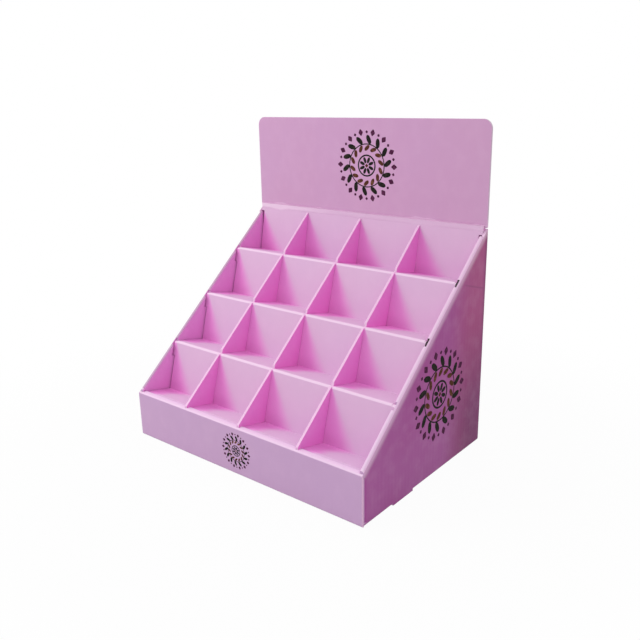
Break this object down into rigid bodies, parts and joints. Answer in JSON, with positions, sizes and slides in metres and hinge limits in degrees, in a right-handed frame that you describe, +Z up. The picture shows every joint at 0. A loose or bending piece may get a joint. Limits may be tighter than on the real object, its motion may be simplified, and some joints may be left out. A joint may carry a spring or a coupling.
{
  "type": "counter display box",
  "caption": "Corrugated board counter display box with stepped pockets in rows and columns, slanted double side walls, a low rolled front lip and a tall header with rounded corners",
  "frame": {"origin": "centre of the box's footprint, on the surface that it stands on", "axes": "+X to the right-hand side, +Y from the front to the back, +Z up to the header"},
  "size_m": [0.36, 0.248, 0.396],
  "materials": {
    "printed_board": "corrugated board, offset printed in pink with a thin clear varnish"
  },
  "bodies": {
    "root": {"tray": "printed_board", "step_insert": "printed_board", "divider_1": "printed_board", "divider_2": "printed_board", "divider_3": "printed_board"}
  },
  "joints": []
}
